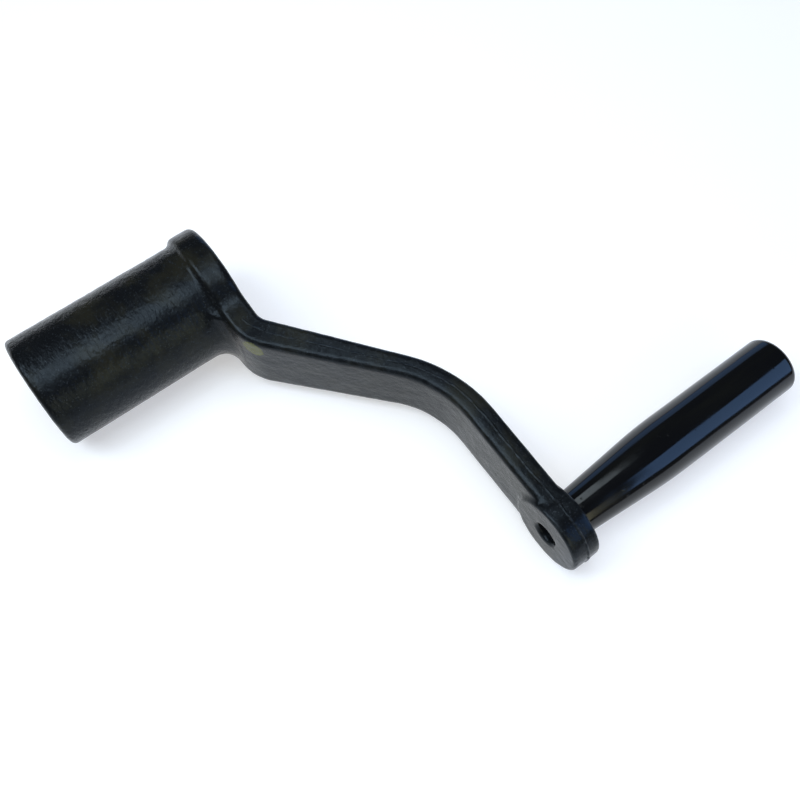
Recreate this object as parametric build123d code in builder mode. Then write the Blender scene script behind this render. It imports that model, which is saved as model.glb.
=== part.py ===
"""Starting crank handle: a cast crank with a socket for an engine's starting shaft, and a steel
grip that turns on a pin fixed in the eye at the end of the arm.

The crank lies on its side, as it comes to rest. The frame has +Y along the turning axis, from the
socket's mouth towards the grip, +X along the arm and +Z up. The origin is the centre of the
mouth. The crank's own plane is tipped about +Y until the collar and the eye touch one floor.
"""

import os
from math import asin, cos, degrees, radians, sin, tan

from build123d import *

# ---- Socket: the sleeve that slips over the starting shaft, millimetres
sleeve_r = 27.5
sleeve_mouth_round = 2.5
hub_back_y = 98.5  # back face of the hub
collar_r = 30.2
flare_r = 9.0  # concave flare between the sleeve and the arm's lower face
root_blend_r = 16.0  # concave blend between the collar and the arm's flanks

# ---- Inside the socket: a chamber for the shaft's cross pin, then a blind guide for the shaft
chamber_r = 20.0
chamber_depth = 58.0  # from the mouth to the crests of the jaws
guide_r = 15.25
back_wall = 9.0
jaw_relief = 0.8  # undercut of the chamber's wall round the jaws
jaw_relief_lead = 1.0  # how far it starts ahead of the crests
jaw_count = 2
jaw_rise = 12.0  # height of one ramp, from its root to its crest
jaw_gap_angle = 30.0  # left at each root for the cross pin

# ---- Arm: a flat bar, bent twice and thinner towards the eye
root_face_y = 85.3  # where the bar's lower face leaves the sleeve
lower_corner_x = 41.2
lower_slope_angle = 42.2
lower_root_bend_r = 25.0
lower_bend_r = 52.0
upper_corner_x = 35.2  # the bar's upper face runs out of the hub's back face
upper_slope_angle = 39.5
upper_root_bend_r = 8.0
upper_bend_r = 66.0
arm_outer_y = 145.2  # the bar's face on the socket's side, past the second bend
arm_thick = 12.0
arm_root_half = 22.6  # half width of the bar's taper, carried back to the turning axis
arm_half = 17.3  # half width past the taper
arm_taper_end_x = 104.0
flank_bend_r = 60.0
arm_edge_round = 2.6
crank_throw = 185.0  # from the turning axis to the grip's axis

# ---- Eye: the thicker round end that carries the grip's pin
eye_r = 19.0
eye_outer_rise = 1.6  # how far the eye stands out past the bar, on the socket's side
eye_inner_rise = 0.8
eye_chamfer = 0.8

# ---- Grip, turning freely on its pin
grip_length = 124.0
grip_base_r = 10.5
grip_r = 14.0
grip_taper_length = 48.0
grip_base_chamfer = 0.6
grip_end_round = 3.2
grip_end_play = 0.4  # gap between the grip and each thing that holds it endways
pin_r = 7.0
pin_clearance = 0.1
pin_head_r = 9.0
pin_head_clearance = 0.8
pin_head_thick = 5.0
pin_head_chamfer = 1.0
pin_head_depth = 1.5  # how far the head lies inside the grip's end
tail_r = 5.5
tail_depth = 3.6  # how far the riveted tail lies below the eye's outer face
tail_chamfer = 1.2
tail_mouth_chamfer = 1.0

# ---- Places worked out from the sizes above
jaw_root_y = chamber_depth + jaw_rise
eye_outer_y = arm_outer_y - eye_outer_rise
eye_inner_y = arm_outer_y + arm_thick + eye_inner_rise
grip_start_y = eye_inner_y + grip_end_play
grip_end_y = grip_start_y + grip_length
head_end_y = grip_end_y - pin_head_depth
head_seat_y = head_end_y - pin_head_thick
counterbore_y = head_seat_y - grip_end_play
lay_angle = degrees(asin((collar_r - eye_r) / crank_throw))

# The crank's plane holds both axes: its x is the radial direction and its y the turning axis.
crank_plane = Plane.XY.rotated((0, lay_angle, 0))
# Sections square to the turning axis: x is the radial direction, y lies across the bar.
across_plane = Plane(origin=(0, 0, 0), x_dir=crank_plane.x_dir, z_dir=(0, -1, 0))
grip_centre = crank_plane.from_local_coords((crank_throw, 0, 0))
grip_axis = Axis(grip_centre, (0, 1, 0))
grip_profile_plane = Plane(origin=grip_centre, x_dir=crank_plane.x_dir, z_dir=crank_plane.z_dir)


def slope(angle):
    """Rise over run of a face that leans by angle from the radial direction."""
    return tan(radians(angle))


# ---------------------------------------------------------------- the bent bar
with BuildPart() as arm_bar:
    # The bent outline, seen square to the crank's plane
    with BuildSketch(crank_plane) as bent_outline:
        arm_inner_y = arm_outer_y + arm_thick
        upper_bend_x = upper_corner_x + (arm_inner_y - hub_back_y) / slope(upper_slope_angle)
        lower_bend_x = lower_corner_x + (arm_outer_y - root_face_y) / slope(lower_slope_angle)
        with BuildLine():
            upper = FilletPolyline(
                (-2 * collar_r, hub_back_y),
                (upper_corner_x, hub_back_y),
                (upper_bend_x, arm_inner_y),
                (crank_throw + eye_r, arm_inner_y),
                radius=[upper_root_bend_r, upper_bend_r],
            )
            lower = FilletPolyline(
                (-2 * collar_r, root_face_y),
                (lower_corner_x, root_face_y),
                (lower_bend_x, arm_outer_y),
                (crank_throw + eye_r, arm_outer_y),
                radius=[lower_root_bend_r, lower_bend_r],
            )
            Line(upper @ 0, lower @ 0)
            Line(upper @ 1, lower @ 1)
        make_face()
    extrude(amount=2 * arm_root_half, both=True)
    # The outline seen along the turning axis: round collar, taper, then parallel to the eye
    with BuildSketch(across_plane) as planform:
        with BuildLine():
            flank = FilletPolyline(
                (0, arm_root_half),
                (arm_taper_end_x, arm_half),
                (crank_throw, arm_half),
                radius=flank_bend_r,
            )
            mirror(flank, about=Plane.XZ)
            Line((0, arm_root_half), (0, -arm_root_half))
            Line((crank_throw, arm_half), (crank_throw, -arm_half))
        make_face()
        Circle(collar_r)
        roots = planform.vertices().filter_by(
            lambda v: abs(v.X**2 + v.Y**2 - collar_r**2) < 0.1 and v.X > 1
        )
        fillet(roots, root_blend_r)
    extrude(amount=-2 * crank_throw, mode=Mode.INTERSECT)
    long_edges = arm_bar.edges().filter_by(
        lambda e: crank_plane.to_local_coords(e @ 0.5).X < crank_throw - 1
        and (
            abs(crank_plane.to_local_coords(e @ 0.5).Z) > arm_half * 0.95
            or crank_plane.to_local_coords(e @ 0.5).X < -1
        )
    )
    fillet(long_edges, arm_edge_round)

# ---------------------------------------------------------------- flare between sleeve and arm
with BuildPart() as root_flare:
    with BuildSketch(Plane.XY):
        with BuildLine():
            flare_low = (sleeve_r, root_face_y - flare_r)
            flare_high = (sleeve_r + flare_r, root_face_y)
            RadiusArc(flare_low, flare_high, flare_r)
            Polyline(
                flare_high,
                (sleeve_r + flare_r, root_face_y + 1),
                (sleeve_r - 1, root_face_y + 1),
                (sleeve_r - 1, root_face_y - flare_r),
                flare_low,
            )
        make_face()
    revolve(axis=Axis.Y)
    # Only under the arm, inside its rounded edges
    with BuildSketch(across_plane):
        add(planform.sketch_local)
        offset(amount=-arm_edge_round, mode=Mode.REPLACE)
    extrude(amount=-hub_back_y, mode=Mode.INTERSECT)

# ---------------------------------------------------------------- one-way jaw in the socket
# Turning the crank drives the upright face against the shaft's cross pin. When the engine runs
# ahead, the pin climbs the ramp and pushes the crank out.
jaw_half_angle = (360 / jaw_count - jaw_gap_angle) / 2
jaw_turn = 90
ramp_slope = jaw_rise / (2 * guide_r * sin(radians(jaw_half_angle)))
jaw_out = across_plane.from_local_coords((cos(radians(jaw_turn)), sin(radians(jaw_turn)), 0))
jaw_along = across_plane.from_local_coords((-sin(radians(jaw_turn)), cos(radians(jaw_turn)), 0))
jaw_start_plane = Plane.XY.rotated((0, lay_angle - jaw_turn + jaw_half_angle, 0))
with BuildPart() as jaw:
    jaw_reach = chamber_r + jaw_relief + 1  # into the wall
    with BuildSketch(jaw_start_plane):
        with BuildLine():
            Polyline(
                (guide_r, chamber_depth),
                (jaw_reach, chamber_depth),
                (jaw_reach, jaw_root_y + 1),
                (guide_r, jaw_root_y + 1),
                close=True,
            )
        make_face()
    revolve(axis=Axis((0, 0, 0), (0, -1, 0)), revolution_arc=2 * jaw_half_angle)
    with BuildSketch(Plane(origin=(0, jaw_root_y, 0), x_dir=jaw_along, z_dir=jaw_out)):
        with BuildLine():
            Polyline(
                (-2 * chamber_r, -2),
                (2 * chamber_r, -2),
                (2 * chamber_r, jaw_rise / 2 + 2 * chamber_r * ramp_slope),
                (-jaw_rise / 2 / ramp_slope, 0),
                (-2 * chamber_r, 0),
                close=True,
            )
        make_face()
    extrude(amount=2 * chamber_r, mode=Mode.INTERSECT)

# ---------------------------------------------------------------- crank: one casting
with BuildPart() as crank_body:
    # Sleeve and collar
    with BuildSketch(Plane.XY) as hub_profile:
        with BuildLine():
            Polyline(
                (0, 0),
                (sleeve_r, 0),
                (sleeve_r, hub_back_y - arm_edge_round),
                (0, hub_back_y - arm_edge_round),
                close=True,
            )
        make_face()
    revolve(axis=Axis.Y)
    rims = crank_body.edges().filter_by(GeomType.CIRCLE)
    fillet(rims.group_by(Axis.Y)[0], sleeve_mouth_round)
    add(arm_bar.part)
    add(root_flare.part)
    # Eye
    with BuildSketch(Plane(origin=(grip_centre.X, eye_outer_y, grip_centre.Z), z_dir=(0, 1, 0))):
        Circle(eye_r)
    eye = extrude(amount=eye_inner_y - eye_outer_y, mode=Mode.PRIVATE)
    add(eye.chamfer(eye_chamfer, None, eye.edges().filter_by(GeomType.CIRCLE)))
    # Blind bore of the socket
    with BuildSketch(Plane.XY):
        with BuildLine():
            guide_end_y = hub_back_y - back_wall
            relief_r = chamber_r + jaw_relief
            Polyline(
                (0, -1),
                (chamber_r, -1),
                (chamber_r, chamber_depth - jaw_relief_lead),
                (relief_r, chamber_depth - jaw_relief_lead),
                (relief_r, jaw_root_y),
                (guide_r, jaw_root_y),
                (guide_r, guide_end_y),
                (0, guide_end_y),
                close=True,
            )
        make_face()
    revolve(axis=Axis.Y, mode=Mode.SUBTRACT)
    # Hole for the pin's tail, with a chamfered mouth on the outer face
    with BuildSketch(grip_profile_plane):
        with BuildLine():
            Polyline(
                (0, eye_outer_y - 1),
                (tail_r + tail_mouth_chamfer + 1, eye_outer_y - 1),
                (tail_r, eye_outer_y + tail_mouth_chamfer),
                (tail_r, eye_inner_y + 1),
                (0, eye_inner_y + 1),
                close=True,
            )
        make_face()
    revolve(axis=grip_axis, mode=Mode.SUBTRACT)
    for number in range(jaw_count):
        add(jaw.part.rotate(Axis.Y, number * 360 / jaw_count))

# ---------------------------------------------------------------- grip: one turned and bored sleeve
with BuildPart() as grip_sleeve:
    with BuildSketch(grip_profile_plane) as grip_profile:
        with BuildLine():
            bore_r = pin_r + pin_clearance
            counterbore_r = pin_head_r + pin_head_clearance
            Polyline(
                (bore_r, grip_start_y),
                (grip_base_r, grip_start_y),
                (grip_r, grip_start_y + grip_taper_length),
                (grip_r, grip_end_y),
                (counterbore_r, grip_end_y),
                (counterbore_r, counterbore_y),
                (bore_r, counterbore_y),
                close=True,
            )
        make_face()
    revolve(axis=grip_axis)
    rims = grip_sleeve.edges().filter_by(GeomType.CIRCLE)
    fillet(rims.group_by(Axis.Y)[-1].sort_by(SortBy.RADIUS)[-1:], grip_end_round)
    chamfer(rims.group_by(Axis.Y)[0].sort_by(SortBy.RADIUS)[-1:], grip_base_chamfer)

# ---------------------------------------------------------------- pin: headed, riveted into the eye
with BuildPart() as grip_pin:
    with BuildSketch(grip_profile_plane) as pin_profile:
        with BuildLine():
            tail_y = eye_outer_y + tail_depth
            Polyline(
                (0, tail_y),
                (tail_r, tail_y),
                (tail_r, eye_inner_y),
                (pin_r, eye_inner_y),
                (pin_r, head_seat_y),
                (pin_head_r, head_seat_y),
                (pin_head_r, head_end_y),
                (0, head_end_y),
                close=True,
            )
        make_face()
    revolve(axis=grip_axis)
    ends = grip_pin.edges().filter_by(GeomType.CIRCLE)
    chamfer(ends.group_by(Axis.Y)[-1], pin_head_chamfer)
    chamfer(ends.group_by(Axis.Y)[0], tail_chamfer)

# ---------------------------------------------------------------- files
os.makedirs("parts", exist_ok=True)
crank_body.part.label = "crank_body"
grip_sleeve.part.label = "grip_sleeve"
grip_pin.part.label = "grip_pin"
export_step(crank_body.part, "parts/crank_body.step")
export_step(grip_sleeve.part, "parts/grip_sleeve.step")
export_step(grip_pin.part, "parts/grip_pin.step")
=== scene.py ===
"""Dresses the starting crank handle: the painted casting, its enamelled grip and the grip's pin.

Every piece is made in metres in the frame of the CAD model: +Y runs along the turning axis from
the socket's mouth towards the grip, +X along the arm, and +Z is up.
"""

from math import atan2, cos, hypot, pi, radians, sin

import bmesh
import bpy
from bpy.props import FloatProperty, FloatVectorProperty, IntProperty, PointerProperty
from bpy.types import Operator, Panel, PropertyGroup
from mathutils import Matrix, Vector, noise
from mathutils.bvhtree import BVHTree


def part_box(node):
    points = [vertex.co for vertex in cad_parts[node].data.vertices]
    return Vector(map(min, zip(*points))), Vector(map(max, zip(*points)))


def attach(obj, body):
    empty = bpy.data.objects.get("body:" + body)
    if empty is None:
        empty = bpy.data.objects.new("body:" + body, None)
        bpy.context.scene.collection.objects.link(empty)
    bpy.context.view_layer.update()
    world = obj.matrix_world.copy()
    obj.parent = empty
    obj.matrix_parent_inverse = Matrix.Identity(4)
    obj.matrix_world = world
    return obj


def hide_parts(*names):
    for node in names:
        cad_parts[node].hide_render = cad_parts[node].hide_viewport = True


bl_info = {
    "name": "Starting Crank Handle",
    "version": (1, 0, 0),
    "blender": (4, 5, 0),
    "location": "View3D > Sidebar > Crank Handle",
    "description": "Dresses a cast starting crank and its turning grip",
    "category": "Object",
}

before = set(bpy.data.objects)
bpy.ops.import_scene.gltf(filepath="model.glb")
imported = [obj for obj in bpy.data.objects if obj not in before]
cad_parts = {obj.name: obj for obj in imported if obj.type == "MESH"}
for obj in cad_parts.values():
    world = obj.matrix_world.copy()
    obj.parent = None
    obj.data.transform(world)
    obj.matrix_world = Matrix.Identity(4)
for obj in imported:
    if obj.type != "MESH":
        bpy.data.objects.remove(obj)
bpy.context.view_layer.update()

MM = 0.001
CASTING_LOW, CASTING_HIGH = (Vector(corner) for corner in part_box("crank_body"))
GRIP_LOW, GRIP_HIGH = (Vector(corner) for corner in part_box("grip_sleeve"))
PIN_LOW, PIN_HIGH = (Vector(corner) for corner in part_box("grip_pin"))
GRIP_CENTRE = (GRIP_LOW + GRIP_HIGH) / 2
GRIP_RADIUS = (GRIP_HIGH.z - GRIP_LOW.z) / 2
THROW = hypot(GRIP_CENTRE.x, GRIP_CENTRE.z)
COLLAR_RADIUS = -CASTING_LOW.x
EYE_RADIUS = CASTING_HIGH.x - GRIP_CENTRE.x
SLEEVE_END = 84 * MM  # where the sleeve's plain length runs into the collar
# The crank's own plane holds both axes. It is tipped about +Y until the eye meets the floor.
LAY = Matrix.Rotation(atan2(-GRIP_CENTRE.z, GRIP_CENTRE.x), 4, "Y")


# ------------------------------------------------------------------------------ settings
class CrankCastingSettings(PropertyGroup):
    """Sizes and colours of the painted casting"""

    voxel: FloatProperty(
        name="Mesh size",
        description="Edge length of the cast skin's mesh",
        default=0.85 * MM,
        min=0.4 * MM,
        unit="LENGTH",
    )
    skin_depth: FloatProperty(
        name="Skin roughness",
        description="Height of the lumps that the sand mould leaves",
        default=0.09 * MM,
        unit="LENGTH",
    )
    wrinkle_depth: FloatProperty(
        name="Sleeve wrinkles",
        description="Depth of the fine wrinkles that run round the sleeve",
        default=0.07 * MM,
        unit="LENGTH",
    )
    flash_height: FloatProperty(
        name="Flash height",
        description="How far the broken parting line stands out of the arm's flanks",
        default=0.55 * MM,
        unit="LENGTH",
    )
    flash_width: FloatProperty(
        name="Flash width",
        description="Width of the parting line's foot",
        default=2.2 * MM,
        unit="LENGTH",
    )
    paint: FloatVectorProperty(
        name="Paint",
        description="Colour of the black paint",
        default=(0.0050, 0.0056, 0.0066),
        subtype="COLOR",
        min=0,
        max=1,
    )
    paint_thin: FloatVectorProperty(
        name="Thin paint",
        description="Colour where the paint is thin or dusty",
        default=(0.0130, 0.0125, 0.0090),
        subtype="COLOR",
        min=0,
        max=1,
    )
    specks: FloatVectorProperty(
        name="Specks",
        description="Colour of the fine dust specks in the paint",
        default=(0.018, 0.021, 0.024),
        subtype="COLOR",
        min=0,
        max=1,
    )
    # Painted highlight: the lighter, bluish colour laid along the arm's long edges in place of the
    # light those edges reflect.
    edge_highlight: FloatVectorProperty(
        name="Highlit edges",
        description="Colour of the chipped paint along the arm's long edges",
        default=(0.024, 0.028, 0.032),
        subtype="COLOR",
        min=0,
        max=1,
    )
    dab: FloatVectorProperty(
        name="Inspection dab",
        description="Colour of the small yellow dab at the arm's root",
        default=(0.110, 0.112, 0.016),
        subtype="COLOR",
        min=0,
        max=1,
    )
    dab_radius: FloatProperty(
        name="Dab radius",
        description="Half the width of the yellow dab",
        default=5.4 * MM,
        unit="LENGTH",
    )


class CrankGripSettings(PropertyGroup):
    """Sizes and colours of the grip and its pin"""

    base_radius: FloatProperty(
        name="Base radius", description="Radius at the arm",
        default=10.5 * MM, unit="LENGTH",
    )
    taper_length: FloatProperty(
        name="Taper length", description="From the base to full width",
        default=48 * MM, unit="LENGTH",
    )
    end_round: FloatProperty(
        name="End rounding", description="Radius of the free end's edge",
        default=3.2 * MM, unit="LENGTH",
    )
    bore_radius: FloatProperty(
        name="Bore radius", description="Radius of the bore for the pin",
        default=7.1 * MM, unit="LENGTH",
    )
    counterbore_radius: FloatProperty(
        name="Counterbore radius", description="Radius of the seat for the pin's head",
        default=9.8 * MM, unit="LENGTH",
    )
    counterbore_depth: FloatProperty(
        name="Counterbore depth", description="Depth of the seat for the pin's head",
        default=6.9 * MM, unit="LENGTH",
    )
    segments: IntProperty(
        name="Segments", description="Facets round each turned piece", default=144, min=24, max=256
    )
    enamel: FloatVectorProperty(
        name="Enamel", description="Colour of the grip's enamel", default=(0.0035, 0.0036, 0.0042),
        subtype="COLOR", min=0, max=1,
    )
    steel: FloatVectorProperty(
        name="Pin steel", description="Colour of the pin's darkened steel",
        default=(0.16, 0.17, 0.18), subtype="COLOR", min=0, max=1,
    )


class CrankStageSettings(PropertyGroup):
    """Floor, lights and camera"""

    floor_size: FloatProperty(
        name="Floor size", description="Width of the pale floor", default=6.0, unit="LENGTH"
    )
    floor_colour: FloatVectorProperty(
        name="Floor", description="Colour of the floor", default=(0.62, 0.62, 0.63),
        subtype="COLOR", min=0, max=1,
    )
    floor_glow: FloatVectorProperty(
        name="Floor lift", description="What lifts the floor to white where it is seen",
        default=(0.46, 0.46, 0.47), subtype="COLOR", min=0, max=1,
    )
    sky_colour: FloatVectorProperty(
        name="Window light", description="Colour of the cool window light",
        default=(0.26, 0.50, 1.0), subtype="COLOR", min=0, max=1,
    )
    fill: FloatProperty(
        name="Fill", description="Brightness of the overhead fill", default=1.0, min=0
    )
    field_of_view: FloatProperty(
        name="Field of view", description="The camera's angle of view",
        default=radians(46.9), subtype="ANGLE",
    )


def settings():
    """The three groups of settings, in the order casting, grip, stage."""
    scene = bpy.context.scene
    return scene.crank_casting, scene.crank_grip, scene.crank_stage


# ------------------------------------------------------------------------------ node helpers
def new_material(name):
    """An empty node material with its shader and output, as (material, nodes, links, shader)."""
    material = bpy.data.materials.new(name)
    material.use_nodes = True
    tree = material.node_tree
    shader = tree.nodes["Principled BSDF"]
    return material, tree.nodes, tree.links, shader


def noise_node(nodes, links, vector, scale, detail=4.0, rough=0.55, distortion=0.0):
    """A noise texture on vector, returning its Fac socket."""
    texture = nodes.new("ShaderNodeTexNoise")
    texture.inputs["Scale"].default_value = scale
    texture.inputs["Detail"].default_value = detail
    texture.inputs["Roughness"].default_value = rough
    texture.inputs["Distortion"].default_value = distortion
    links.new(vector, texture.inputs["Vector"])
    return texture.outputs["Fac"]


def remap(nodes, links, value, low, high, to_low=0.0, to_high=1.0, smooth=True):
    """value from low..high to to_low..to_high, clamped."""
    mapped = nodes.new("ShaderNodeMapRange")
    mapped.interpolation_type = "SMOOTHSTEP" if smooth else "LINEAR"
    ends = {"From Min": low, "From Max": high, "To Min": to_low, "To Max": to_high}
    for name, number in ends.items():
        mapped.inputs[name].default_value = number
    links.new(value, mapped.inputs["Value"])
    return mapped.outputs["Result"]


def mix_colour(nodes, links, factor, first, second):
    """A colour mix; first and second are sockets or plain colours."""
    mix = nodes.new("ShaderNodeMix")
    mix.data_type = "RGBA"
    links.new(factor, mix.inputs["Factor"])
    for socket, colour in (("A", first), ("B", second)):
        target = [s for s in mix.inputs if s.name == socket and s.type == "RGBA"][0]
        if isinstance(colour, bpy.types.NodeSocket):
            links.new(colour, target)
        else:
            target.default_value = (*colour, 1.0)
    return [s for s in mix.outputs if s.type == "RGBA"][0]


def combine(nodes, links, operation, first, second):
    """A math node on two sockets or numbers."""
    node = nodes.new("ShaderNodeMath")
    node.operation = operation
    for index, value in enumerate((first, second)):
        if isinstance(value, bpy.types.NodeSocket):
            links.new(value, node.inputs[index])
        else:
            node.inputs[index].default_value = value
    return node.outputs[0]


def bump_chain(nodes, links, shader, layers):
    """Stacks (height socket, strength, distance) layers of bump and links them to the shader."""
    normal = None
    for height, strength, distance in layers:
        bump = nodes.new("ShaderNodeBump")
        bump.inputs["Strength"].default_value = strength
        bump.inputs["Distance"].default_value = distance
        links.new(height, bump.inputs["Height"])
        if normal is not None:
            links.new(normal, bump.inputs["Normal"])
        normal = bump.outputs["Normal"]
    links.new(normal, shader.inputs["Normal"])


# ------------------------------------------------------------------------------ materials
def casting_paint(casting):
    """Black paint over a rough cast skin, with wrinkles round the sleeve and one yellow dab."""
    material, nodes, links, shader = new_material("casting_paint")
    place = nodes.new("ShaderNodeTexCoord").outputs["Object"]
    split = nodes.new("ShaderNodeSeparateXYZ")
    links.new(place, split.inputs["Vector"])
    x, y, z = split.outputs

    # The sleeve's wrinkles run round it: the noise is squeezed along the turning axis.
    squeeze = nodes.new("ShaderNodeMapping")
    squeeze.inputs["Scale"].default_value = (0.42, 1.0, 0.42)
    links.new(place, squeeze.inputs["Vector"])
    wrinkles = noise_node(nodes, links, squeeze.outputs["Vector"], 620, 3, 0.6, 0.4)
    radius = combine(nodes, links, "SQRT", combine(
        nodes, links, "ADD",
        combine(nodes, links, "MULTIPLY", x, x), combine(nodes, links, "MULTIPLY", z, z)), 0.0)
    on_sleeve = combine(
        nodes, links, "MULTIPLY",
        remap(nodes, links, radius, COLLAR_RADIUS, COLLAR_RADIUS + 2 * MM, 1, 0),
        remap(nodes, links, y, SLEEVE_END, SLEEVE_END + 8 * MM, 1, 0))
    wrinkle_height = combine(nodes, links, "MULTIPLY", wrinkles, on_sleeve)

    grains = noise_node(nodes, links, place, 900, 5, 0.65)
    pimples = noise_node(nodes, links, place, 330, 3, 0.55)
    lumps = noise_node(nodes, links, place, 95, 4, 0.5)
    bump_chain(nodes, links, shader, (
        (lumps, 0.22, 0.8 * MM),
        (pimples, 0.24, 0.45 * MM),
        (wrinkle_height, 0.55, 0.60 * MM),
        (grains, 0.42, 0.24 * MM),
    ))

    worn = remap(nodes, links, noise_node(nodes, links, place, 45, 6, 0.62), 0.46, 0.66)
    colour = mix_colour(nodes, links, worn, tuple(casting.paint), tuple(casting.paint_thin))
    specks = remap(nodes, links, noise_node(nodes, links, place, 1250, 2, 0.5), 0.60, 0.70)
    colour = mix_colour(nodes, links, specks, colour, tuple(casting.specks))
    # Painted highlight: along the arm's long edges a lighter, bluish colour, broken up by noise,
    # stands in for the window light that the rounded edges reflect.
    sharpness = nodes.new("ShaderNodeNewGeometry").outputs["Pointiness"]
    edges = remap(nodes, links, sharpness, 0.508, 0.535)
    highlit = remap(nodes, links, noise_node(nodes, links, place, 240, 8, 0.78), 0.40, 0.70)
    on_arm = remap(nodes, links, x, COLLAR_RADIUS, COLLAR_RADIUS + 12 * MM)
    edge_highlight = combine(
        nodes, links, "MULTIPLY", combine(nodes, links, "MULTIPLY", edges, highlit), on_arm)
    colour = mix_colour(nodes, links, edge_highlight, colour, tuple(casting.edge_highlight))
    # The dab sits on the arm's face towards the socket, just past the fillet at its root.
    dab_centre = nodes.new("ShaderNodeVectorMath")
    dab_centre.operation = "DISTANCE"
    links.new(place, dab_centre.inputs[0])
    dab_centre.inputs[1].default_value = dab_place(casting)
    ragged = combine(nodes, links, "ADD", dab_centre.outputs["Value"], combine(
        nodes, links, "MULTIPLY", noise_node(nodes, links, place, 420, 4, 0.7), 3.2 * MM))
    in_dab = remap(
        nodes, links, ragged, casting.dab_radius + 0.9 * MM, casting.dab_radius + 2.2 * MM, 1, 0)
    colour = mix_colour(nodes, links, in_dab, colour, tuple(casting.dab))
    links.new(colour, shader.inputs["Base Color"])

    patches = noise_node(nodes, links, place, 150, 5, 0.6)
    roughness = remap(nodes, links, patches, 0.3, 0.7, 0.13, 0.26)
    links.new(roughness, shader.inputs["Roughness"])
    shader.inputs["Specular IOR Level"].default_value = 0.16
    # Painted reflection colour: the bluish specular tint gives every reflection in the paint the
    # blue of window light, whatever the lamps are.
    shader.inputs["Specular Tint"].default_value = (0.74, 0.87, 1.0, 1.0)
    return material


def grip_enamel(grip):
    """Smooth gloss black enamel with faint draw marks and a few nibs of dust."""
    material, nodes, links, shader = new_material("grip_enamel")
    place = nodes.new("ShaderNodeTexCoord").outputs["Object"]
    draw = nodes.new("ShaderNodeMapping")
    draw.inputs["Scale"].default_value = (1.0, 0.12, 1.0)
    links.new(place, draw.inputs["Vector"])
    runs = noise_node(nodes, links, draw.outputs["Vector"], 130, 3, 0.5)
    nibs = remap(nodes, links, noise_node(nodes, links, place, 420, 2, 0.5), 0.70, 0.78)
    waves = noise_node(nodes, links, place, 28, 2, 0.4)
    bump_chain(nodes, links, shader, (
        (waves, 0.30, 1.2 * MM),
        (runs, 0.10, 0.5 * MM),
        (nibs, 0.30, 0.12 * MM),
    ))
    patches = noise_node(nodes, links, place, 60, 5, 0.6)
    dull = remap(nodes, links, patches, 0.35, 0.7, 0.07, 0.15)
    links.new(dull, shader.inputs["Roughness"])
    streaks = remap(nodes, links, runs, 0.4, 0.7)
    tint = mix_colour(nodes, links, streaks, tuple(grip.enamel), (0.0055, 0.0056, 0.0050))
    links.new(tint, shader.inputs["Base Color"])
    shader.inputs["Specular IOR Level"].default_value = 0.34
    return material


def pin_steel(grip):
    """Turned steel gone dark, with turning marks round its axis."""
    material, nodes, links, shader = new_material("pin_steel")
    place = nodes.new("ShaderNodeTexCoord").outputs["Object"]
    turned = nodes.new("ShaderNodeMapping")
    turned.inputs["Scale"].default_value = (0.2, 1.0, 0.2)
    links.new(place, turned.inputs["Vector"])
    marks = noise_node(nodes, links, turned.outputs["Vector"], 1500, 3, 0.5)
    stains = remap(nodes, links, noise_node(nodes, links, place, 260, 5, 0.6), 0.35, 0.65)
    colour = mix_colour(nodes, links, stains, tuple(grip.steel), (0.05, 0.045, 0.04))
    links.new(colour, shader.inputs["Base Color"])
    links.new(remap(nodes, links, stains, 0, 1, 0.28, 0.5), shader.inputs["Roughness"])
    shader.inputs["Metallic"].default_value = 0.9
    bump_chain(nodes, links, shader, ((marks, 0.25, 0.08 * MM),))
    return material


def dab_place(casting):
    """Centre of the yellow dab: on the arm's face towards the socket, near its upper edge."""
    start = LAY @ Vector((43.5 * MM, -0.05, 13.0 * MM))
    hit = casting_tree().ray_cast(start, Vector((0, 1, 0)))[0]
    if hit is None:
        raise RuntimeError("the yellow dab finds no face on the arm")
    return hit


# ------------------------------------------------------------------------------ mesh helpers
def casting_tree():
    """A ray-casting tree of the CAD casting, kept once it is made."""
    if not hasattr(casting_tree, "tree"):
        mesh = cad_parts["crank_body"].data
        casting_tree.tree = BVHTree.FromPolygons(
            [v.co.copy() for v in mesh.vertices], [p.vertices[:] for p in mesh.polygons])
    return casting_tree.tree


def add_object(name, mesh, material):
    """Links a new smooth-shaded object into the scene."""
    piece = bpy.data.objects.new(name, mesh)
    bpy.context.scene.collection.objects.link(piece)
    piece.data.materials.clear()
    piece.data.materials.append(material)
    for polygon in piece.data.polygons:
        polygon.use_smooth = True
    return piece


def lathe(name, outline, centre, segments, material, wobble=0.0):
    """Turns a closed (radius, y) outline about the axis through centre along +Y."""
    mesh = bpy.data.meshes.new(name)
    shape = bmesh.new()
    rings = []
    for radius, y in outline:
        if radius < 1e-7:
            rings.append([shape.verts.new((centre.x, y, centre.z))])
            continue
        ring = []
        for step in range(segments):
            angle = 2 * pi * step / segments
            ripple = 1 + wobble * noise.noise(Vector((cos(angle) * 1.3, y * 30, sin(angle) * 1.3)))
            ring.append(shape.verts.new((
                centre.x + radius * ripple * cos(angle), y,
                centre.z + radius * ripple * sin(angle))))
        rings.append(ring)
    closed = len(rings[0]) > 1
    for index in range(len(rings) if closed else len(rings) - 1):
        first, second = rings[index], rings[(index + 1) % len(rings)]
        for step in range(segments):
            corners = []
            for ring, steps in ((first, (step, step + 1)), (second, (step + 1, step))):
                for s in steps:
                    vertex = ring[s % len(ring)]
                    if vertex not in corners:
                        corners.append(vertex)
            if len(corners) > 2:
                shape.faces.new(corners)
    bmesh.ops.recalc_face_normals(shape, faces=shape.faces)
    shape.to_mesh(mesh)
    shape.free()
    return add_object(name, mesh, material)


def rounded_corner(radius, y, r, start, end, steps=8):
    """Points of an arc of radius r about (radius, y), between two angles in degrees."""
    turn = [radians(start + (end - start) * i / steps) for i in range(steps + 1)]
    return [(radius + r * cos(a), y + r * sin(a)) for a in turn]


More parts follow.
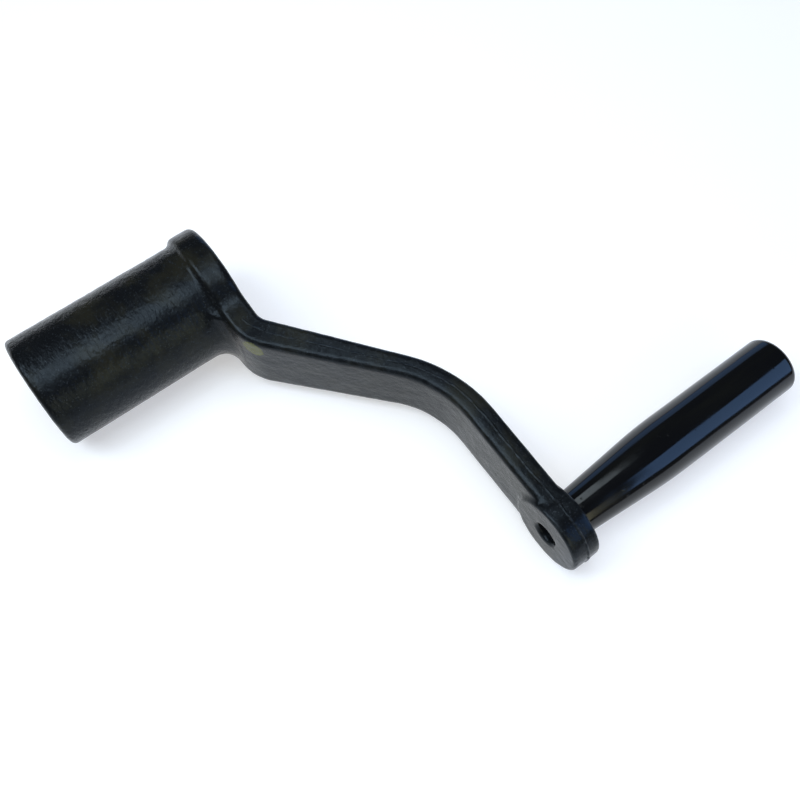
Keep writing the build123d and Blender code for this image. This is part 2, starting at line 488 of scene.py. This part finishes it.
def smooth_run(first, last, steps):
    """Points along a straight run of an outline, ends left out."""
    return [
        (first[0] + (last[0] - first[0]) * i / steps, first[1] + (last[1] - first[1]) * i / steps)
        for i in range(1, steps)]


# ------------------------------------------------------------------------------ operators
class CRANK_OT_casting(Operator):
    """Makes the painted casting: cast skin, wrinkled sleeve and the broken parting line"""

    bl_idname = "crank.casting"
    bl_label = "Casting"

    def execute(self, context):
        casting = settings()[0]
        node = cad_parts["crank_body"]
        source = bpy.data.objects.new("casting_source", node.data.copy())
        context.scene.collection.objects.link(source)
        remesh = source.modifiers.new("skin", "REMESH")
        remesh.mode = "VOXEL"
        remesh.voxel_size = casting.voxel
        smooth = source.modifiers.new("soften", "SMOOTH")
        smooth.factor = 0.5
        smooth.iterations = 3
        context.view_layer.update()
        graph = context.evaluated_depsgraph_get()
        skin = bpy.data.meshes.new_from_object(source.evaluated_get(graph))
        bpy.data.objects.remove(source)
        self.roughen(skin, casting)
        piece = add_object("casting", skin, casting_paint(casting))
        flash = self.parting_flash(casting)
        flash.materials.append(piece.data.materials[0])
        strip = bpy.data.objects.new("flash", flash)
        context.scene.collection.objects.link(strip)
        with context.temp_override(active_object=piece, selected_editable_objects=[piece, strip]):
            bpy.ops.object.join()
        for polygon in piece.data.polygons:
            polygon.use_smooth = True
        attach(piece, "crank")
        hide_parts("crank_body")
        return {"FINISHED"}

    def roughen(self, mesh, casting):
        """Moves the skin in and out as a sand mould does, and wrinkles the sleeve's outside."""
        mesh.update()
        normals = [v.normal.copy() for v in mesh.vertices]
        outside = COLLAR_RADIUS * 0.82
        socket_back = 97.5 * MM
        for vertex, normal in zip(mesh.vertices, normals):
            place = vertex.co
            radius = hypot(place.x, place.z)
            lump = noise.fractal(place * 140, 0.6, 2.1, 4)
            pimple = noise.noise(place * 620)
            lift = casting.skin_depth * (0.75 * lump + 0.35 * pimple - 0.3)
            if outside < radius < COLLAR_RADIUS * 1.02 and place.y < SLEEVE_END:
                band = noise.noise(Vector((place.x * 160, place.y * 700, place.z * 160)))
                lift += casting.wrinkle_depth * band
            if radius < outside and place.y < socket_back:
                lift *= 0.35
            vertex.co = place + normal * lift

    def parting_flash(self, casting):
        """A low broken ridge at mid-thickness, along both flanks of the arm and round the eye."""
        tree = casting_tree()
        shape = bmesh.new()
        across = LAY.to_3x3() @ Vector((0, 0, 1))
        arm_steps, eye_steps = 230, 40
        start_x = COLLAR_RADIUS + 2 * MM
        for side in (1, -1):
            previous = None
            for step in range(arm_steps + 1):
                x = start_x + (THROW - start_x) * step / arm_steps
                foot = LAY @ Vector((x, 0, 0))
                below = Vector((0, 0.03 if x > 0.05 else 0.08, 0))
                low = tree.ray_cast(foot + below, Vector((0, 1, 0)))[0]
                high = tree.ray_cast(foot + Vector((0, 0.30, 0)), Vector((0, -1, 0)))[0]
                # Past the eye's near side the ridge keeps the last height of the bar.
                if x <= THROW - EYE_RADIUS:
                    if low is None or high is None:
                        continue
                    middle = (low.y + high.y) / 2
                hit, outward = tree.ray_cast(
                    foot + Vector((0, middle, 0)) + across * side * 0.05, -across * side)[:2]
                if hit is None:
                    continue
                previous = self.ridge_step(shape, previous, hit, outward, x, side, casting)
            # Round the eye, from its flank to its tip
            centre = LAY @ Vector((THROW, 0, 0))
            for step in range(1, eye_steps + 1):
                angle = pi / 2 * (1 - step / eye_steps) * side
                outward = LAY.to_3x3() @ Vector((cos(angle), 0, sin(angle)))
                place = Vector((centre.x, middle, centre.z)) + outward * EYE_RADIUS
                previous = self.ridge_step(
                    shape, previous, place, outward, THROW + step * MM, side, casting)
        bmesh.ops.recalc_face_normals(shape, faces=shape.faces)
        mesh = bpy.data.meshes.new("flash")
        shape.to_mesh(mesh)
        shape.free()
        return mesh

    def ridge_step(self, shape, previous, place, outward, x, side, casting):
        """Adds one cross-section of the ridge at place and joins it to the one before."""
        seed = Vector((x * 210, side * 7.3, 1.7))
        broken = max(0.0, 0.55 + 0.9 * noise.noise(seed) + 0.5 * noise.noise(seed * 3.1))
        height = casting.flash_height * min(broken, 1.25)
        drift = 0.5 * MM * noise.noise(Vector((x * 60, 9.1, side)))
        half = casting.flash_width / 2 * (0.7 + 0.4 * broken)
        sunk = 0.35 * MM  # how deep the ridge's foot lies in the skin
        row = [
            shape.verts.new(
                place + outward * (height * lift - sunk) + Vector((0, drift + half * w, 0)))
            for w, lift in ((-1, 0), (-0.38, 0.9), (0, 1.35), (0.38, 0.9), (1, 0))]
        for vertex, lift in zip(row, (0, 1, 1, 1, 0)):
            vertex.co += outward * sunk * lift
        if previous is not None:
            for i in range(4):
                shape.faces.new((previous[i], previous[i + 1], row[i + 1], row[i]))
        return row


class CRANK_OT_grip(Operator):
    """Turns the enamelled grip: a taper, a straight length and a counterbored free end"""

    bl_idname = "crank.grip"
    bl_label = "Grip"

    def execute(self, context):
        grip = settings()[1]
        start, end = GRIP_LOW.y, GRIP_HIGH.y
        taper_end = start + grip.taper_length
        seat = end - grip.counterbore_depth
        base_round = 0.9 * MM
        shoulder = 9 * MM  # length over which the taper eases into the straight
        outline = [(grip.bore_radius, start)]
        outline += rounded_corner(
            grip.base_radius - base_round, start + base_round, base_round, -90, 0, 6)
        slope = (GRIP_RADIUS - grip.base_radius) / grip.taper_length
        outline += smooth_run(
            outline[-1], (GRIP_RADIUS - slope * shoulder, taper_end - shoulder), 14)
        for i in range(9):
            t = i / 8
            y = taper_end - shoulder + 2 * shoulder * t
            outline.append((GRIP_RADIUS - slope * shoulder * (1 - t) ** 2, y))
        outline += smooth_run(outline[-1], (GRIP_RADIUS, end - grip.end_round), 20)
        outline += rounded_corner(
            GRIP_RADIUS - grip.end_round, end - grip.end_round, grip.end_round, 0, 90, 12)
        recess, break_edge, crease = grip.counterbore_radius, 0.3 * MM, 0.1 * MM
        outline += [(recess + break_edge, end), (recess, end - break_edge)]
        outline += [(recess, seat + crease), (recess - crease, seat)]
        outline += [(grip.bore_radius + crease, seat), (grip.bore_radius, seat - crease)]
        piece = lathe("grip", outline, GRIP_CENTRE, grip.segments, grip_enamel(grip), wobble=0.006)
        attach(piece, "grip")
        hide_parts("grip_sleeve")
        return {"FINISHED"}


class CRANK_OT_pin(Operator):
    """Turns the pin: a domed head in the grip's end and a tail riveted over in the eye"""

    bl_idname = "crank.pin"
    bl_label = "Pin"

    def execute(self, context):
        grip = settings()[1]
        head_radius = (PIN_HIGH.z - PIN_LOW.z) / 2
        head_thick = 5 * MM
        shank = grip.bore_radius - 0.1 * MM
        tail = 5.5 * MM
        eye_face = GRIP_LOW.y - 0.4 * MM
        low, high = PIN_LOW.y, PIN_HIGH.y
        seat = high - head_thick
        outline = [(0, low), (tail * 0.35, low + 0.05 * MM), (tail * 0.62, low + 0.35 * MM)]
        outline += rounded_corner(tail - 1.2 * MM, low + 1.6 * MM, 1.2 * MM, -60, 0, 6)
        outline += [(tail, eye_face), (shank, eye_face + 0.05 * MM), (shank, seat - 0.05 * MM)]
        outline += [(head_radius - 0.2 * MM, seat), (head_radius, seat + 0.2 * MM)]
        outline += rounded_corner(head_radius - 1.4 * MM, high - 1.6 * MM, 1.4 * MM, 0, 78, 8)
        outline += [(head_radius * 0.45, high - 0.04 * MM), (0, high)]
        piece = lathe("pin", outline, (PIN_LOW + PIN_HIGH) / 2, grip.segments, pin_steel(grip))
        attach(piece, "crank")
        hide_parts("grip_pin")
        return {"FINISHED"}


class CRANK_OT_stage(Operator):
    """Lays the pale floor and places the window lights and the camera"""

    bl_idname = "crank.stage"
    bl_label = "Stage"

    def execute(self, context):
        stage = settings()[2]
        self.floor(stage)
        self.world(stage)
        self.lamps(stage)
        self.camera(stage)
        context.scene.view_settings.view_transform = "Standard"
        return {"FINISHED"}

    def floor(self, stage):
        """A wide plain floor that shows white to the camera and keeps the shadow."""
        half = stage.floor_size / 2
        mesh = bpy.data.meshes.new("floor")
        height = CASTING_LOW.z - 0.1 * MM
        middle = Vector((0.1, 0.14, 0))
        corners = [(-half, -half), (half, -half), (half, half), (-half, half)]
        points = [(middle.x + a, middle.y + b, height) for a, b in corners]
        mesh.from_pydata(points, [], [(0, 1, 2, 3)])
        material, nodes, links, shader = new_material("floor_white")
        shader.inputs["Roughness"].default_value = 0.9
        shader.inputs["Specular IOR Level"].default_value = 0.1
        place = nodes.new("ShaderNodeTexCoord").outputs["Object"]
        mottle = remap(nodes, links, noise_node(nodes, links, place, 3, 2), 0.2, 0.8)
        tone = tuple(stage.floor_colour)
        links.new(
            mix_colour(nodes, links, mottle, tone, tuple(c * 0.985 for c in tone)),
            shader.inputs["Base Color"])
        # Seen directly or in gloss and glass, the floor is lifted to white. It keeps the shadow.
        path = nodes.new("ShaderNodeLightPath")
        seen = combine(
            nodes, links, "ADD", path.outputs["Is Camera Ray"],
            combine(
                nodes, links, "ADD",
                path.outputs["Is Glossy Ray"], path.outputs["Is Transmission Ray"]))
        seen = combine(nodes, links, "MINIMUM", seen, 1.0)
        links.new(seen, shader.inputs["Emission Strength"])
        shader.inputs["Emission Color"].default_value = (*stage.floor_glow, 1)
        floor = add_object("floor", mesh, material)

    def world(self, stage):
        """Dim surroundings: a little cooler overhead than at the horizon."""
        world = bpy.data.worlds.new("surroundings")
        bpy.context.scene.world = world
        world.use_nodes = True
        nodes, links = world.node_tree.nodes, world.node_tree.links
        background = nodes["Background"]
        place = nodes.new("ShaderNodeTexCoord").outputs["Generated"]
        split = nodes.new("ShaderNodeSeparateXYZ")
        links.new(place, split.inputs["Vector"])
        up = remap(nodes, links, split.outputs["Z"], -0.1, 0.9)
        colour = mix_colour(nodes, links, up, (0.070, 0.072, 0.066), (0.022, 0.027, 0.036))
        links.new(colour, background.inputs["Color"])
        background.inputs["Strength"].default_value = 1.0

    def lamps(self, stage):
        """A plain overhead fill, and soft windows that draw the bands in the gloss."""
        sky = Vector(stage.sky_colour)
        haze = Vector((0.80, 0.92, 1.0))
        hedge = Vector((1.0, 0.96, 0.66))
        # name, place, point aimed at, width, height, brightness, colour
        windows = (
            ("window_over_socket", (0.11, 0.03, 0.62), (0, 0.03, 0), 0.41, 0.28, 4.8, haze),
            ("window_over_arm", (-0.09, 0.295, 0.60), (0.1, 0.15, 0), 0.07, 0.34, 3.4, haze),
            ("window_by_grip", (0.66, 0.56, 0.37), (0.185, 0.22, 0), 0.42, 0.52, 2.9, sky),
            ("window_past_grip", (-0.42, 0.50, 0.14), (0.185, 0.22, 0), 0.50, 0.26, 1.1, sky),
            ("window_before_arm", (-0.18, -0.38, 0.70), (0.1, 0.1, 0), 0.46, 0.44, 5.5, haze),
            ("hedge_beside_socket", (0.85, 0.10, 0.33), (0, 0.05, 0), 0.45, 0.46, 1.9, hedge),
        )
        for name, place, target, width, height, brightness, colour in windows:
            self.lamp(name, place, target, width, height, brightness, colour)
        fill = self.lamp(
            "fill", (0.1, 0.15, 1.6), (0.1, 0.15, 0), 2.0, 2.0, stage.fill,
            Vector((1, 0.99, 0.97)))
        fill.visible_glossy = False

    def lamp(self, name, place, target, width, height, brightness, colour):
        """A rectangular lamp of that brightness, where 1 looks white, aimed at target."""
        data = bpy.data.lights.new(name, "AREA")
        data.shape = "RECTANGLE"
        data.size, data.size_y = width, height
        data.energy = brightness * pi * width * height
        data.color = colour
        light = bpy.data.objects.new(name, data)
        bpy.context.scene.collection.objects.link(light)
        light.location = place
        towards = Vector(target) - Vector(place)
        side = Vector((0, 1, 0)) - towards.normalized() * towards.normalized().y
        back = -towards.normalized()
        side.normalize()
        light.matrix_world = Matrix.Translation(place) @ Matrix(
            (side, back.cross(side), back)).transposed().to_4x4()
        light.visible_camera = False
        return light

    def camera(self, stage):
        """Looks down on the crank lying on its side, with the socket at the lower left."""
        lens = bpy.data.cameras.new("camera")
        lens.sensor_width = 36
        lens.angle = stage.field_of_view
        camera = bpy.data.objects.new("camera", lens)
        bpy.context.scene.collection.objects.link(camera)
        place = Vector((221.7, 29.1, 387.1)) * MM
        right = Vector((0.59446, 0.80386, 0.02035))
        back = Vector((0.29565, -0.24203, 0.92413)).normalized()
        up = back.cross(right).normalized()
        right = up.cross(back)
        turn = Matrix((right, up, back)).transposed()
        camera.matrix_world = LAY @ (Matrix.Translation(place) @ turn.to_4x4())
        bpy.context.scene.camera = camera


# ------------------------------------------------------------------------------ panel
class CRANK_PT_sidebar(Panel):
    """Lists the crank handle's settings and makers"""

    bl_label = "Crank Handle"
    bl_idname = "CRANK_PT_sidebar"
    bl_space_type = "VIEW_3D"
    bl_region_type = "UI"
    bl_category = "Crank Handle"

    def draw(self, context):
        layout = self.layout
        for group in settings():
            box = layout.box()
            for name in group.bl_rna.properties.keys():
                if name not in ("name", "rna_type"):
                    box.prop(group, name)
        for maker in MAKERS:
            layout.operator(maker.bl_idname)


MAKERS = (CRANK_OT_casting, CRANK_OT_grip, CRANK_OT_pin, CRANK_OT_stage)
CLASSES = (CrankCastingSettings, CrankGripSettings, CrankStageSettings, *MAKERS, CRANK_PT_sidebar)


def register():
    for cls in CLASSES:
        bpy.utils.register_class(cls)
    bpy.types.Scene.crank_casting = PointerProperty(type=CrankCastingSettings)
    bpy.types.Scene.crank_grip = PointerProperty(type=CrankGripSettings)
    bpy.types.Scene.crank_stage = PointerProperty(type=CrankStageSettings)


def unregister():
    del bpy.types.Scene.crank_casting, bpy.types.Scene.crank_grip, bpy.types.Scene.crank_stage
    for cls in reversed(CLASSES):
        bpy.utils.unregister_class(cls)


def main():
    """Makes every piece and the stage."""
    register()
    for maker in MAKERS:
        family, name = maker.bl_idname.split(".")
        getattr(getattr(bpy.ops, family), name)()


if __name__ == "__main__":
    main()
